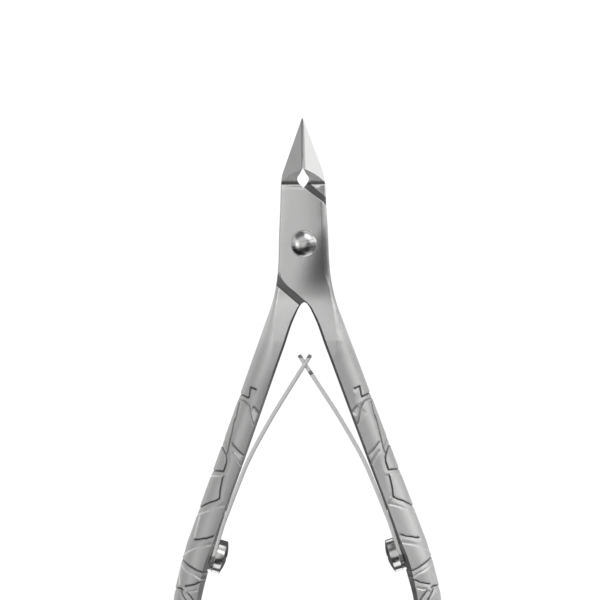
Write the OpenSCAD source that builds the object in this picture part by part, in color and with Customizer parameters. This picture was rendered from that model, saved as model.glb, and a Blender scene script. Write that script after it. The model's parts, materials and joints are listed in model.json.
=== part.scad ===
// Cuticle nipper: two half-lapped levers on one pivot screw, held open by two
// crossed leaf springs. Millimetres, +Y to the jaw tips, +Z out of the screw
// head side, origin on the pivot axis in the plane of the resting face.

/* [Lap joint] */
// Thickness across the two halves of the lap joint
joint_t = 7.0; // [6.8:0.1:7.4]
// Free space between the two sliding lap faces
lap_gap = 0.04; // [0.02:0.01:0.08]
// Small rounding broken onto the long edges of the joint
edge_break = 0.3; // [0.15:0.05:0.4]

/* [Jaws] */
// Distance from the pivot axis to the root of the cutting edges
jaw_root = 14.2; // [13.8:0.1:14.6]
// Length of the cutting edges
blade_l = 9.4; // [8:0.1:10.5]
// Height of the cutting edge over the lap plane at its root
ridge_root = 2.6; // [2.2:0.1:2.8]
// Height of the cutting edge over the lap plane at the tip
ridge_tip = 0.6; // [0.4:0.1:0.8]
// Fall of the outer jaw facets per millimetre away from the edge
facet_fall = 0.65; // [0.5:0.05:0.7]
// Depth of the flat contact land behind each cutting edge
edge_land = 0.3; // [0.2:0.05:0.5]
// Half width of the diamond relief opening behind the cutting edges
relief_w = 1.1; // [0.9:0.05:1.2]

/* [Handles] */
// Length from the pivot axis to the ends of the handles
handle_l = 90.4; // [88:0.2:93]
// Scale of the bevel on the flat inner faces of the handles
inner_bevel = 1; // [0.8:0.05:1]

/* [Pivot screw] */
// Diameter of the domed head
pivot_head_d = 4.8; // [4.6:0.1:5.2]
// Height of the dome above its rim
pivot_dome_h = 0.62; // [0.5:0.02:0.7]
// Diameter of the plain shank in the front lever
pivot_d = 3.2; // [3.0:0.1:3.4]
// Diameter of the threaded end in the back lever
pivot_thread_d = 3.0; // [2.8:0.1:3.0]
// Radial clearance of the screw in its bores
bore_clear = 0.03; // [0.02:0.01:0.05]

/* [Leaf springs] */
// Thickness of each leaf
leaf_t = 0.6; // [0.5:0.05:0.65]
// Width of the leaf at the screw
leaf_w_root = 5.0; // [4.6:0.1:5.2]
// Width of the leaf near the crossing
leaf_w_tip = 4.1; // [3.8:0.1:4.3]
// Width of the tongue that passes through the other leaf
tongue_w = 2.1; // [1.8:0.1:2.2]
// Length of the window the tongue slides in
window_l = 2.6; // [2.4:0.1:2.8]

/* [Spring screws] */
// Diameter of the cheese head
spring_head_d = 6.3; // [6.0:0.1:6.4]
// Height of the cylindrical part of the head
spring_head_h = 1.55; // [1.4:0.05:1.7]
// Height of the dome on the head
spring_dome_h = 0.62; // [0.5:0.02:0.7]
// Diameter of the screw shank
spring_screw_d = 2.4; // [2.2:0.1:2.4]
// Depth of the shank in the handle
spring_screw_l = 3.2; // [2.8:0.1:3.3]

/* [Hidden] */
$fn = 64;
mid = joint_t / 2;
jaw_tip = jaw_root + blade_l;
tip_half = 0.1;
foot_s = 58.1;                  // spring screw's distance below the pivot axis
foot_x = 17.75;                 // seat plane's distance from the centre line there
foot_a = 17.6;                  // tilt of the seat plane from the centre line
leaf_gap = 0.02;                // free space between leaf and seat
cap_s = 85.6;                   // where the rounded end of a handle starts
K = 14;                         // points across the front of a section

// Distance of the outer outline from the centre line, by distance below the pivot axis
outer_tab = [[-14.2, 3.5], [-13.1, 3.88], [-11.2, 4.15], [-6.7, 4.33], [-2.2, 4.58], [2.3, 4.72], [5.3, 4.92],
             [8.3, 5.36], [11.3, 6.12], [14.3, 7.2], [18.8, 8.84], [21.8, 9.95], [29.3, 12.68], [39.8, 16.55],
             [51.8, 21.0], [57.8, 23.1], [62.3, 24.35], [66.6, 25.1], [74.3, 25.7], [80, 25.6], [84, 25.2], [90, 24.2]];
// Distance of the flat inner face from the centre line
inner_tab = [[11.0, 0.25], [12.8, 1.15], [15.8, 2.62], [18.8, 3.7], [21.8, 4.8], [29.3, 7.5], [39.8, 11.3],
             [51.8, 15.7], [57.8, 17.62], [62.3, 18.85], [66.6, 19.9], [74.3, 20.95], [80, 21.2], [84, 21.15], [90, 20.8]];
// Half height of the section's crown, cut flat at the joint faces
crown_tab = [[-20, 3.56], [6, 3.56], [8.3, 3.74], [13.5, 3.76], [16, 3.83], [19, 3.63], [21.4, 3.5], [30, 3.2],
             [42, 3.05], [62, 3.0], [75, 2.9], [84, 2.65], [92, 2.4]];
// Width of that bevel: widest just below the spring seat
bevel_tab = [[11, 0.25], [20, 0.32], [48, 0.34], [55, 0.45], [58.5, 0.95], [61, 1.05], [67, 0.7], [74, 0.5], [92, 0.4]];
// Squareness of the section: high is a slab, low is a rounded D
square_tab = [[-20, 14], [6, 12], [8.3, 10], [11.3, 6], [13.5, 4], [16, 2.7], [19, 2.4], [22, 2.3], [92, 2.2]];
// Distance of the leaf's middle surface from the centre line, up to its straight foot
leaf_tab = [[20.8, -1.13], [22.6, 0.02], [24.8, 1.43], [27.8, 3.35], [32.3, 6.18], [38.3, 9.62], [41.3, 11.13],
            [44.3, 12.4], [47.3, 13.6], [50.3, 14.78], [52, 15.45], [53.5, foot_line(53.5)], [56, foot_line(56)],
            [foot_s, foot_line(foot_s)], [62, foot_line(62)]];

function foot_line(s) = foot_x - (leaf_t / 2 + leaf_gap) / cos(foot_a) + (s - foot_s) * tan(foot_a);

// Smooth curve through the control points of a table
function part_of(t, x, i = 0) = (i >= len(t) - 2 || x < t[i + 1][0]) ? i : part_of(t, x, i + 1);
function slope_at(t, i) = let (a = max(i - 1, 0), b = min(i + 1, len(t) - 1)) (t[b][1] - t[a][1]) / (t[b][0] - t[a][0]);
function smooth(t, x) = let (i = part_of(t, x), h = t[i + 1][0] - t[i][0], u = (x - t[i][0]) / h, u2 = u * u, u3 = u2 * u)
    (2 * u3 - 3 * u2 + 1) * t[i][1] + (u3 - 2 * u2 + u) * h * slope_at(t, i)
    + (3 * u2 - 2 * u3) * t[i + 1][1] + (u3 - u2) * h * slope_at(t, i + 1);

// Jaw shape, by distance above the pivot axis
function ridge(y) = ridge_root + (jaw_root - y) * (ridge_root - ridge_tip) / blade_l;
function jaw_half(y) = y > jaw_root ? tip_half + (3.5 - tip_half) * (jaw_tip - y) / blade_l : smooth(outer_tab, -y);
function jaw_back(y) = mid - (mid - 0.6) * (y - 11.6) / (jaw_tip - 11.6);

// One closed section, inner side first, over the front and back under the rear
function section(y, front, rear) = concat(
    [for (p = front) [p[0], y, mid + p[1]]],
    [for (j = [len(rear) - 2:-1:1]) [rear[j][0], y, mid + rear[j][1]]]);
function slab_side(s, xi, xo, h, n, c) = let (zi = min(mid, h)) concat(
    [[xi, 0], [xi, zi - c]],
    [for (j = [2:K]) let (t = 90 * (j - 2) / (K - 2), u = j == K ? 1 : pow(sin(t), 2 / n), v = j == K ? 0 : pow(cos(t), 2 / n))
        [xi + c + u * (xo - xi - c), min(mid, h * v)]]);
function flipped(side) = [for (p = side) [p[0], -p[1]]];
function body_section(s) = let (w = smooth(outer_tab, s), side = slab_side(s, -w, w, lookup(s, crown_tab), lookup(s, square_tab), edge_break))
    section(-s, side, flipped(side));
function handle_section(s) = let (
    e = s > cap_s ? sqrt(max(0.004, 1 - pow((s - cap_s) / (handle_l - cap_s), 2))) : 1,
    xi = smooth(inner_tab, s), xo = smooth(outer_tab, s), c = (xi + xo) / 2, w = e * (xo - xi) / 2,
    side = slab_side(s, c - w, c + w, lookup(s, crown_tab) * sqrt(e), lookup(s, square_tab), inner_bevel * lookup(s, bevel_tab) * e))
    section(-s, side, flipped(side));
function jaw_section(y) = let (w = jaw_half(y), top = [for (j = [0:K]) let (x = w * min(1, max(-1, (2 * j - K) / (K - 2))))
        [x, (j == 0 || j == K) ? (ridge(y) - facet_fall * w - jaw_back(y)) / 2 : ridge(y) - facet_fall * abs(x)]])
    section(y, top, [for (j = [0:K]) [top[j][0], -jaw_back(y)]]);

jaw_ys = [jaw_tip, jaw_root, 13.7, 13.1, 12.4, 11.7];
body_ss = [-11.3, -9, -6.7, -4.4, -2.2, 0, 2.3, 3.9, 5.3, 6.3, 7.3, 8.3, 9.2, 10.1, 10.96];
handle_ss = concat([11.0, 11.6, 12.3, 13.1, 14, 15, 16, 17.2, 18.4, 19.8, 21.4, 23.5], [for (s = [26:3:83]) s], [cap_s]);
cap_ss = [for (i = [1:7]) cap_s + (handle_l - cap_s) * sin(i * 90 / 7)];

// Skin over a row of sections that all have the same number of points, with a fan over each end
function middle(row) = [for (p = row) 1] * row / len(row);
module skin(rows) {
    n = len(rows[0]);
    m = len(rows);
    polyhedron(
        points = concat([for (r = rows) for (p = r) p], [middle(rows[0]), middle(rows[m - 1])]),
        faces = concat(
            [for (i = [0:n - 1]) [(i + 1) % n, i, m * n]],
            [for (r = [0:m - 2]) for (i = [0:n - 1]) for (f = [0, 1]) let (a = r * n + i, b = r * n + (i + 1) % n)
                f == 0 ? [a, b, a + n] : [b, b + n, a + n]],
            [for (i = [0:n - 1]) [(m - 1) * n + i, (m - 1) * n + (i + 1) % n, m * n + 1]]),
        convexity = 8);
}

// The forged blank: both jaws, the joint and one handle in a single skin
module blank() {
    skin(concat(
        [for (y = jaw_ys) jaw_section(y)],
        [for (s = body_ss) body_section(s)],
        [for (s = handle_ss) handle_section(s)],
        [for (s = cap_ss) handle_section(s)]));
}

function bend(a, b, c, n) = [for (i = [0:n]) let (t = i / n) (1 - t) * (1 - t) * a + 2 * t * (1 - t) * b + t * t * c];

// Lap outline below: a diagonal that turns up into the side of the joint
module under_edge() {
    polygon(concat([[-14, -5.2], [-5.4, -5.2]], bend([-4.72, -5.5], [-4.45, -6.95], [-2.55, -8.53], 8), [[0.25, -11.0], [0.25, -15], [-14, -15]]));
}
// Lap outline above: everything on the other jaw's side of the cutting line
module upper_edge() {
    polygon(concat([[-0.01, 30], [-0.01, 10.8]], bend([3.45, 8.15], [4.2, 7.57], [4.4, 6.3], 6), [[6, 6.2], [14, 6.2], [14, 30]]));
}
// Pocket that takes the other lever's half of the joint, from shoulder to shoulder
module pocket() {
    polygon([[-14, -0.09], [0.3, 12.7], [14, 24.9], [14, 0.03], [0.7, -11.7], [-14, -24.66]]);
}
module relief() {
    polygon([[0, jaw_root + 0.05], [-relief_w, 12.4], [0, 10.45], [relief_w, 12.4]]);
}
// Concave ramp ground across the front between the joint face and the jaws
module ramp() {
    r = 4.3;
    cy = 10.5;
    cz = 4.8;
    rotate([90, 0, 90]) translate([0, 0, -8]) linear_extrude(16) translate([0, mid]) polygon(concat(
        [[10.0, 8], [10.1, mid]],
        [for (i = [1:6]) [10.1 + 1.1 * sin(i * 15), mid - 1.1 + 1.1 * cos(i * 15)]],
        [for (i = [0:14]) let (y = 11.2 + i * 0.25) [y, cz - sqrt(r * r - pow(y - cy, 2))]],
        [[14.79, 8]]));
}
// Hollow ground behind the cutting edges
module hollow() {
    y1 = jaw_tip + 0.8;
    far = mid + ridge(y1) - edge_land;
    near = mid + ridge(jaw_root) - edge_land;
    polyhedron(
        points = [[0, y1, far], [-0.34, y1, -2.5], [0.34, y1, -2.5], [0, jaw_root, near], [-2.5, jaw_root, -2.5], [2.5, jaw_root, -2.5], [0, 11.0, -2.5]],
        faces = [[0, 1, 2], [0, 4, 1], [0, 3, 4], [0, 5, 3], [0, 2, 5], [3, 6, 4], [3, 5, 6], [1, 5, 2], [1, 4, 5], [4, 6, 5]]);
}

// Places its children on a spring screw's axis: local Z points out of the seat
module at_foot() {
    translate([foot_x, -foot_s, mid]) rotate([0, 0, 180 + foot_a]) rotate([0, 90, 0]) children();
}

// A lever with the handle on the right. front says which half of the joint it fills
module lever(front) {
    difference() {
        blank();
        translate([0, 0, front ? -1 : mid - lap_gap / 2]) linear_extrude(mid + 1 + lap_gap / 2) pocket();
        translate([0, 0, -1]) linear_extrude(joint_t + 2) under_edge();
        translate([0, 0, -1]) linear_extrude(joint_t + 2) upper_edge();
        translate([0, 0, -1]) linear_extrude(joint_t + 2) relief();
        ramp();
        hollow();
        translate([0, 0, -1]) cylinder(h = joint_t + 2, d = (front ? pivot_d : pivot_thread_d) + 2 * bore_clear);
        if (front) translate([0, 0, joint_t - 0.42]) cylinder(h = 2, d = pivot_head_d + 0.16);
        at_foot() {
            translate([-4.2, -8.6, 0]) cube([8.4, 12, 3]);
            translate([0, 0, -spring_screw_l - 0.3]) cylinder(h = 5, d = spring_screw_d + 2 * bore_clear);
        }
    }
}

module front_lever() {
    color("silver") lever(true);
}

module back_lever() {
    color("darkgray") mirror([1, 0, 0]) lever(false);
}

// Domed slotted head, used by the pivot and by the spring screws
module domed_head(d, h, dome, slot_w, slot_d) {
    r = (d * d / 4 + dome * dome) / (2 * dome);
    difference() {
        intersection() {
            cylinder(h = h + dome + 1, d = d);
            translate([0, 0, h + dome - r]) sphere(r = r);
        }
        translate([-d, -slot_w / 2, h + dome - slot_d]) cube([2 * d, slot_w, slot_d + 1]);
    }
}

module pivot_screw() {
    color("gainsboro") union() {
        translate([0, 0, joint_t - 0.4]) rotate([0, 0, 10]) domed_head(pivot_head_d, 0.65, pivot_dome_h, 1.04, 0.36);
        translate([0, 0, mid]) cylinder(h = mid - 0.2, d = pivot_d);
        cylinder(h = mid + 1, d = pivot_thread_d);
    }
}

function leaf_x(s) = smooth(leaf_tab, s);
function leaf_tan(s) = let (a = leaf_x(s - 0.1), b = leaf_x(s + 0.1), l = norm([b - a, 0.2])) [(b - a) / l, -0.2 / l];
function leaf_half(s, tongue) =
    s > foot_s ? sqrt(max(0.06, pow(leaf_w_root / 2, 2) - pow((s - foot_s) / cos(foot_a), 2)))
    : tongue ? lookup(s, [[20, tongue_w / 2 - 0.25], [21.3, tongue_w / 2], [23.85, tongue_w / 2], [24.5, leaf_w_tip / 2], [46, leaf_w_root / 2], [60, leaf_w_root / 2]])
    : lookup(s, [[20, leaf_w_tip / 2 - 0.35], [21.3, leaf_w_tip / 2], [24.5, leaf_w_tip / 2], [46, leaf_w_root / 2], [60, leaf_w_root / 2]]);
function leaf_row(s, tongue) = let (x = leaf_x(s), t = leaf_tan(s), nx = -t[1] * leaf_t / 2, ny = t[0] * leaf_t / 2, w = leaf_half(s, tongue))
    [[x + nx, -s + ny, mid - w], [x - nx, -s - ny, mid - w], [x - nx, -s - ny, mid + w], [x + nx, -s + ny, mid + w]];

leaf_ss = concat([20.85, 21.3, 22.6, 23.85, 24.5, 26], [for (s = [28:2:50]) s], [51.5, 53, 54.5, 56.5, foot_s],
    [for (i = [1:9]) foot_s + leaf_w_root / 2 * cos(foot_a) * sin(i * 9.9)]);

// A leaf on the right-hand handle
module leaf(tongue) {
    difference() {
        skin([for (s = leaf_ss) leaf_row(s, tongue)]);
        at_foot() cylinder(h = 4, d = spring_screw_d + 0.2, center = true);
        if (!tongue) let (t = leaf_tan(22.57)) translate([0, -22.5, mid]) rotate([0, 0, atan2(t[1], t[0])])
            cube([window_l, 3, tongue_w + 0.5], center = true);
    }
}

module left_spring() {
    color("lightsteelblue") mirror([1, 0, 0]) leaf(false);
}

module right_spring() {
    color("lightsteelblue") leaf(true);
}

module spring_screw() {
    at_foot() {
        translate([0, 0, leaf_t + 2 * leaf_gap]) rotate([0, 0, 12]) domed_head(spring_head_d, spring_head_h, spring_dome_h, 1.0, 0.85);
        translate([0, 0, -spring_screw_l]) cylinder(h = spring_screw_l + leaf_t + 0.5, d = spring_screw_d);
    }
}

module left_spring_screw() {
    color("gainsboro") mirror([1, 0, 0]) spring_screw();
}

module right_spring_screw() {
    color("gainsboro") spring_screw();
}

front_lever();
back_lever();
pivot_screw();
left_spring();
right_spring();
left_spring_screw();
right_spring_screw();
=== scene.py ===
"""Cuticle nipper: its levers, leaf springs, screws and finishes, in a plain white studio.

The tool lies flat with its pivot on the Z axis, its jaws towards +Y and its handles towards -Y.
The front lever lies on top at the joint and has the right (+X) handle and the left jaw. Pieces
are modelled in millimetres for the right side, mirrored where needed, then scaled to metres.
In tables and outlines, s is the distance from the pivot down the handles: s = -y.
"""

import json
import math

import bpy
import numpy as np
from mathutils import Matrix, Vector

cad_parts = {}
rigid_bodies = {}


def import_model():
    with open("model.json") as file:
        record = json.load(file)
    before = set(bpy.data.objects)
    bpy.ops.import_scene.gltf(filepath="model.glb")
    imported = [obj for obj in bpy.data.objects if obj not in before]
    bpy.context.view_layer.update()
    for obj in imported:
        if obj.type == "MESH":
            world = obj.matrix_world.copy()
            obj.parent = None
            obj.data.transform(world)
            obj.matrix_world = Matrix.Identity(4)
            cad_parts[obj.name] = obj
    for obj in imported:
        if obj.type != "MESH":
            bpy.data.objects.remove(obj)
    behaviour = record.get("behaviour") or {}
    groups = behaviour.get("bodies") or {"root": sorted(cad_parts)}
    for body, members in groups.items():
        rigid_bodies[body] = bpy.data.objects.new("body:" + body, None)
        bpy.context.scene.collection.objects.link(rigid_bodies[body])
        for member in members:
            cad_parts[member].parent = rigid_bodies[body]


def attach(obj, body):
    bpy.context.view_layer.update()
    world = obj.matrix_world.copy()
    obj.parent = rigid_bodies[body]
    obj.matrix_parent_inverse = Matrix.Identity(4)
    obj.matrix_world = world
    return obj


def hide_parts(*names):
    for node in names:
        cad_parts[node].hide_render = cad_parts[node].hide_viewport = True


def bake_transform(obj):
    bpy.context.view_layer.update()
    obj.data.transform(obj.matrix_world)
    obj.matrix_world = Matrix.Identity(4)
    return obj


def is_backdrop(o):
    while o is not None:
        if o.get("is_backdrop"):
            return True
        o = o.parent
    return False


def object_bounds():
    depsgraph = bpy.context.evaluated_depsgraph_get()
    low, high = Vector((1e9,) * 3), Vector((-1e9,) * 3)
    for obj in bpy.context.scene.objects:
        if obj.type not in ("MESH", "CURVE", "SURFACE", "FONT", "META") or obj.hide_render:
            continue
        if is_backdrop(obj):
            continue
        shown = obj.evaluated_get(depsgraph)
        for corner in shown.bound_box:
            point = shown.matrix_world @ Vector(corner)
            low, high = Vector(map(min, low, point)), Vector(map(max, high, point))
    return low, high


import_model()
SIZE_AT_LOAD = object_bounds()

MM = 0.001
MID = 3.5                      # height of the lap plane
TOP = 2 * MID                  # full thickness of the joint
JAW_ROOT = 14.2
BLADE_L = 9.4
JAW_TIP = JAW_ROOT + BLADE_L
HANDLE_L = 90.4
CAP_S = 85.6                   # where the rounded end of a handle starts
# Where the spring screw's axis meets the seat, and the seat's lean
FOOT_S, FOOT_X, FOOT_A = 58.1, 17.75, math.radians(17.6)
LEAF_T = 0.6
SPRING_SHANK_R = 1.2
PIVOT_LOW_R, PIVOT_HIGH_R, PIVOT_HEAD_R = 1.5, 1.6, 2.4
SHANK_PLAY = 0.03

# ---------------------------------------------------------------- outlines

# Outer and inner edges of the right handle: (s, x)
OUTER = [
    [-14.2, 3.5], [-13.1, 3.88], [-11.2, 4.15], [-6.7, 4.33], [-2.2, 4.58], [2.3, 4.72],
    [5.3, 4.92], [8.3, 5.36], [11.3, 6.12], [14.3, 7.2], [18.8, 8.84], [21.8, 9.95],
    [29.3, 12.68], [39.8, 16.55], [51.8, 21.0], [57.8, 23.1], [62.3, 24.35], [66.6, 25.1],
    [74.3, 25.7], [80, 25.6], [84, 25.2], [90, 24.2]]
INNER = [
    [11.0, 0.25], [11.4, 0.66], [12.0, 1.06], [12.8, 1.44], [14.2, 2.08], [15.8, 2.7],
    [18.8, 3.7], [21.8, 4.8], [29.3, 7.5], [39.8, 11.3], [51.8, 15.7], [57.8, 17.62],
    [62.3, 18.85], [66.6, 19.9], [74.3, 20.95], [80, 21.2], [84, 21.15], [90, 20.8]]
# Half thickness of the section: (s, height)
CROWN = [
    [-20, 3.56], [6, 3.56], [8.3, 3.74], [13.5, 3.76], [16, 3.83], [19, 3.63], [21.4, 3.5],
    [30, 3.2], [42, 3.05], [62, 3.0], [75, 2.9], [84, 2.65], [92, 2.4]]
# Squareness of the section: (s, superellipse power)
SQUARE = [
    [-20, 14], [6, 12], [8.3, 10], [11.3, 6], [13.5, 4], [16, 2.7], [19, 2.4], [22, 2.3],
    [92, 2.2]]
# Bevel on the inner edge, widest just below the spring seat: (s, width)
BEVEL = [
    [11, 0.3], [14, 0.42], [20, 0.46], [48, 0.46], [55, 0.52], [58.5, 0.95], [61, 1.05],
    [67, 0.75], [74, 0.55], [92, 0.45]]


def foot_line(s):
    """x of the leaf's centreline where it lies straight along the seat."""
    return FOOT_X - (LEAF_T / 2 + 0.02) / math.cos(FOOT_A) + (s - FOOT_S) * math.tan(FOOT_A)


# Centreline of the right leaf: (s, x)
LEAF = [
    [20.8, -1.13], [22.6, 0.02], [24.8, 1.43], [27.8, 3.35], [32.3, 6.18], [38.3, 9.62],
    [41.3, 11.13], [44.3, 12.4], [47.3, 13.6], [50.3, 14.78], [52, 15.45]]
LEAF += [[s, foot_line(s)] for s in (53.5, 56, 58.1, 62)]


def smooth(table, x):
    """Cubic Hermite curve through a table."""
    points = np.array(table, float)
    xs, ys, count = points[:, 0], points[:, 1], len(points)
    before = np.maximum(np.arange(count) - 1, 0)
    after = np.minimum(np.arange(count) + 1, count - 1)
    slope = (ys[after] - ys[before]) / (xs[after] - xs[before])
    x = np.asarray(x, float)
    i = np.clip(np.searchsorted(xs, x, side="right") - 1, 0, count - 2)
    span = xs[i + 1] - xs[i]
    t = (x - xs[i]) / span
    t2, t3 = t * t, t * t * t
    return ((2 * t3 - 3 * t2 + 1) * ys[i] + (t3 - 2 * t2 + t) * span * slope[i]
            + (3 * t2 - 2 * t3) * ys[i + 1] + (t3 - t2) * span * slope[i + 1])


def linear(table, x):
    points = np.array(table, float)
    return np.interp(x, points[:, 0], points[:, 1])


def step(s, start, end):
    """Eased rise from 0 at start to 1 at end."""
    t = np.clip((np.asarray(s, float) - start) / (end - start), 0, 1)
    return t * t * (3 - 2 * t)


# ---------------------------------------------------------------- carving

FLOOR = 0.13                   # depth of the plates' floors
END_FADE = 0.35                # distance over which a wall dies out past its ends

# Each wall is a run of points (x, s) on the right handle, the depth of the chased line
# along it (0 for none), and the length over which its floor climbs back. The floor lies
# to the right of the run when it is followed on a page where s points down.
# A chased line's depth also sets the painted shade along it; a wall with no line gets a painted
# highlight on its edge.
WALLS = [
    ([(9.2, 27.13), (10.25, 26.7), (10.59, 28.71), (12.06, 27.99), (13.64, 27.21)], 0.26, 1.6),
    ([(13.62, 28.89), (12.63, 29.04), (11.93, 29.17), (11.22, 29.49), (10.57, 30.39),
      (10.28, 31.61), (9.96, 33.26), (9.73, 33.86)], 0.15, 0.9),
    ([(8.8, 31.52), (9.56, 30.47)], 0.13, 2.5),
    ([(12.4, 29.64), (12.65, 30.54), (12.99, 32.19), (13.48, 33.41), (13.84, 35.08),
      (14.65, 38.55), (14.83, 39.21)], 0.19, 0.7),
    ([(11.35, 39.86), (12.0, 39.26), (12.79, 38.48), (13.52, 37.61), (13.82, 37.14)], 0.17, 1.6),
    ([(13.8, 38.74), (13.65, 39.02), (13.14, 39.69), (12.62, 40.63), (12.33, 41.27)], 0.12, 0.9),
    ([(14.75, 38.08), (15.04, 36.96), (15.31, 36.13), (16.18, 35.64)], 0.09, 0.9),
    ([(16.54, 36.96), (15.82, 37.56), (15.4, 38.64), (15.11, 39.26), (14.93, 40.07),
      (14.96, 40.86), (15.2, 41.72), (15.47, 42.43)], 0.24, 0.9),
    ([(15.47, 42.43), (16.49, 42.32), (17.48, 42.32), (18.36, 42.32)], 0.26, 1.3),
    ([(18.35, 43.71), (18.05, 43.58), (17.54, 43.33), (16.83, 43.33), (16.1, 43.37),
      (15.61, 43.42)], 0.00, 1.1),
    ([(15.61, 43.42), (15.88, 44.59), (16.17, 46.09), (16.3, 47.49)], 0.22, 0.9),
    ([(16.3, 47.49), (16.95, 47.85), (18.09, 48.21), (19.1, 48.71), (19.88, 49.22),
      (20.72, 49.71)], 0.26, 1.5),
    ([(20.71, 50.74), (19.72, 50.32), (18.08, 49.73), (16.51, 49.22), (15.5, 49.01)], 0.00, 1.2),
    ([(21.05, 54.77), (20.49, 52.52), (20.05, 50.93)], 0.00, 1.4),
    ([(17.58, 54.54), (17.82, 54.6), (18.68, 54.88), (19.6, 54.96), (20.54, 55.18),
      (21.04, 55.14)], 0.26, 1.2),
    ([(23.45, 58.33), (22.2, 57.45), (20.99, 56.83), (19.57, 56.53), (17.92, 56.27)], 0.00, 1.3),
    ([(19.1, 61.61), (19.91, 61.2), (20.85, 60.81), (21.8, 60.21), (22.59, 59.62),
      (23.44, 58.71)], 0.22, 1.3),
    ([(24.19, 59.46), (23.43, 60.21), (22.71, 61.07), (21.78, 61.63), (20.76, 62.14),
      (19.84, 62.83)], 0.00, 1.1),
    ([(20.12, 63.07), (20.55, 63.24), (21.03, 63.51), (22.12, 63.71), (22.9, 63.86)], 0.24, 1.3),
    ([(22.44, 65.04), (22.18, 65.01), (21.39, 65.01), (20.66, 64.8)], 0.00, 1.1),
    ([(23.92, 63.58), (24.0, 61.43), (23.62, 59.83)], 0.00, 1.5),
    ([(23.29, 64.61), (23.61, 64.29), (24.27, 64.18), (25.07, 64.52)], 0.26, 1.2),
    ([(22.42, 67.33), (22.72, 66.58), (23.32, 65.59), (23.57, 64.89)], 0.20, 0.5),
    ([(21.01, 67.14), (21.43, 66.45), (22.25, 65.36), (22.44, 65.08)], 0.19, 0.9),
]


def again(wall, shift, depth=1.0):
    """The same wall further down the handle, spread over the handle's width there."""
    points = []
    for x, s in wall[0]:
        inner, outer = float(smooth(INNER, s)), float(smooth(OUTER, s))
        inner2, outer2 = float(smooth(INNER, s + shift)), float(smooth(OUTER, s + shift))
        points.append((inner2 + (x - inner) / (outer - inner) * (outer2 - inner2), s + shift))
    return (points, wall[1] * depth, wall[2])


WALLS += ([again(WALLS[i], 20.5) for i in range(11, 18)]
          + [again(WALLS[i], 20.0, 0.9) for i in (18, 19)])

# Small patches at the inner edge that get a painted highlight, as convex runs of (x, s)
LIT_PATCHES = [
    [(8.98, 31.75), (9.62, 30.72), (10.12, 31.6), (9.72, 33.6)],
    [(11.8, 39.5), (13.4, 38.75), (13.55, 39.05), (12.45, 40.7)],
]


def from_wall(spots, corners):
    """Signed distance of each spot from a run of points, and how far past its ends it is."""
    nearest = np.full(len(spots), 1e9)
    side, past = np.zeros(len(spots)), np.zeros(len(spots))
    for k in range(len(corners) - 1):
        start, along = corners[k], corners[k + 1] - corners[k]
        length = math.hypot(along[0], along[1])
        along = along / length
        t = (spots - start) @ along
        gap = spots - start - np.clip(t, 0, length)[:, None] * along
        distance = np.hypot(gap[:, 0], gap[:, 1])
        across = (spots - start) @ np.array([-along[1], along[0]])
        beyond = np.zeros(len(spots))
        if k == 0:
            beyond = np.maximum(beyond, -t)
        if k == len(corners) - 2:
            beyond = np.maximum(beyond, t - length)
        # At a corner two stretches are equally near, and the one seen more squarely wins
        tie = (np.abs(distance - nearest) <= 1e-7) & (np.abs(across) > np.abs(side))
        take = (distance < nearest - 1e-7) | tie
        nearest = np.where(take, distance, nearest)
        side = np.where(take, across, side)
        past = np.where(take, beyond, past)
    return np.sign(side) * nearest, past


def inside_facet(spots, lit_patch):
    """Distance of each spot inside a convex patch's nearest edge, negative outside."""
    corners = np.array(lit_patch)
    centre = corners.mean(0)
    inside = np.full(len(spots), 1e9)
    for start, end in zip(corners, np.roll(corners, -1, 0)):
        normal = np.array([start[1] - end[1], end[0] - start[0]])
        normal = normal / np.hypot(*normal)
        normal = normal if (centre - start) @ normal > 0 else -normal
        inside = np.minimum(inside, (spots - start) @ normal)
    return inside


def carve(x, s):
    """Carving at points (x, s) of the right handle: depth, painted shade of lines, painted
    highlight on edges.
    """
    spots = np.stack([x.ravel(), s.ravel()], 1)
    depth, dark, lit = (np.zeros(len(spots)) for _ in range(3))
    for points, deep, run in WALLS:
        corners = np.array(points, float)
        low, high = corners.min(0) - run - 0.8, corners.max(0) + run + 0.8
        pick = np.where(((spots > low) & (spots < high)).all(1))[0]
        if len(pick) == 0:
            continue
        off, past = from_wall(spots[pick], corners)
        fade = np.clip(1 - past / END_FADE, 0, 1)
        plate = FLOOR * (1 if deep else 0.8)
        plate = plate * np.clip((off + 0.06) / 0.16, 0, 1) * np.clip(1 - off / run, 0, 1)
        line = 1.15 * deep * np.clip(1.3 * (1 - np.abs(off - 0.04) / 0.20), 0, 1)
        depth[pick] = np.maximum(depth[pick], np.maximum(plate, line) * fade)
        if deep:
            # Painted shade along the chased line
            shade = min(1.0, deep / 0.22) * np.clip(1.5 * (1 - np.abs(off - 0.04) / 0.19), 0, 1)
            dark[pick] = np.maximum(dark[pick], shade * fade)
        else:
            # Painted highlight along a wall with no line
            edge = 0.9 * np.clip(1.5 * (1 - np.abs(off) / 0.18), 0, 1)
            lit[pick] = np.maximum(lit[pick], edge * fade)
    # Painted highlights over the lit patches
    for lit_patch in LIT_PATCHES:
        lit = np.maximum(lit, np.clip(inside_facet(spots, lit_patch) / 0.15, 0, 1))
    return depth.reshape(x.shape), dark.reshape(x.shape), lit.reshape(x.shape)


def paint(piece, bright, dark, painted_tone):
    """Keeps painted shade in the carving's lines, painted highlights on its edges and a painted
    tone on the mesh.
    """
    mesh = piece.data
    places = np.empty(len(mesh.vertices) * 3, np.float32)
    mesh.vertices.foreach_get("co", places)
    places = places.reshape(-1, 3).astype(float)
    x, s = places[:, 0], -places[:, 1]
    _, lines, edges = carve(x, s)
    fields = {"groove_shade": lines * dark, "lit": np.minimum(edges * bright, 1), "painted_tone": painted_tone(x, s)}
    for name, values in fields.items():
        attribute = mesh.attributes.new(name, "FLOAT", "POINT")
        attribute.data.foreach_set("value", values.astype(np.float32))
    return piece


# ---------------------------------------------------------------- mesh helpers

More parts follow.
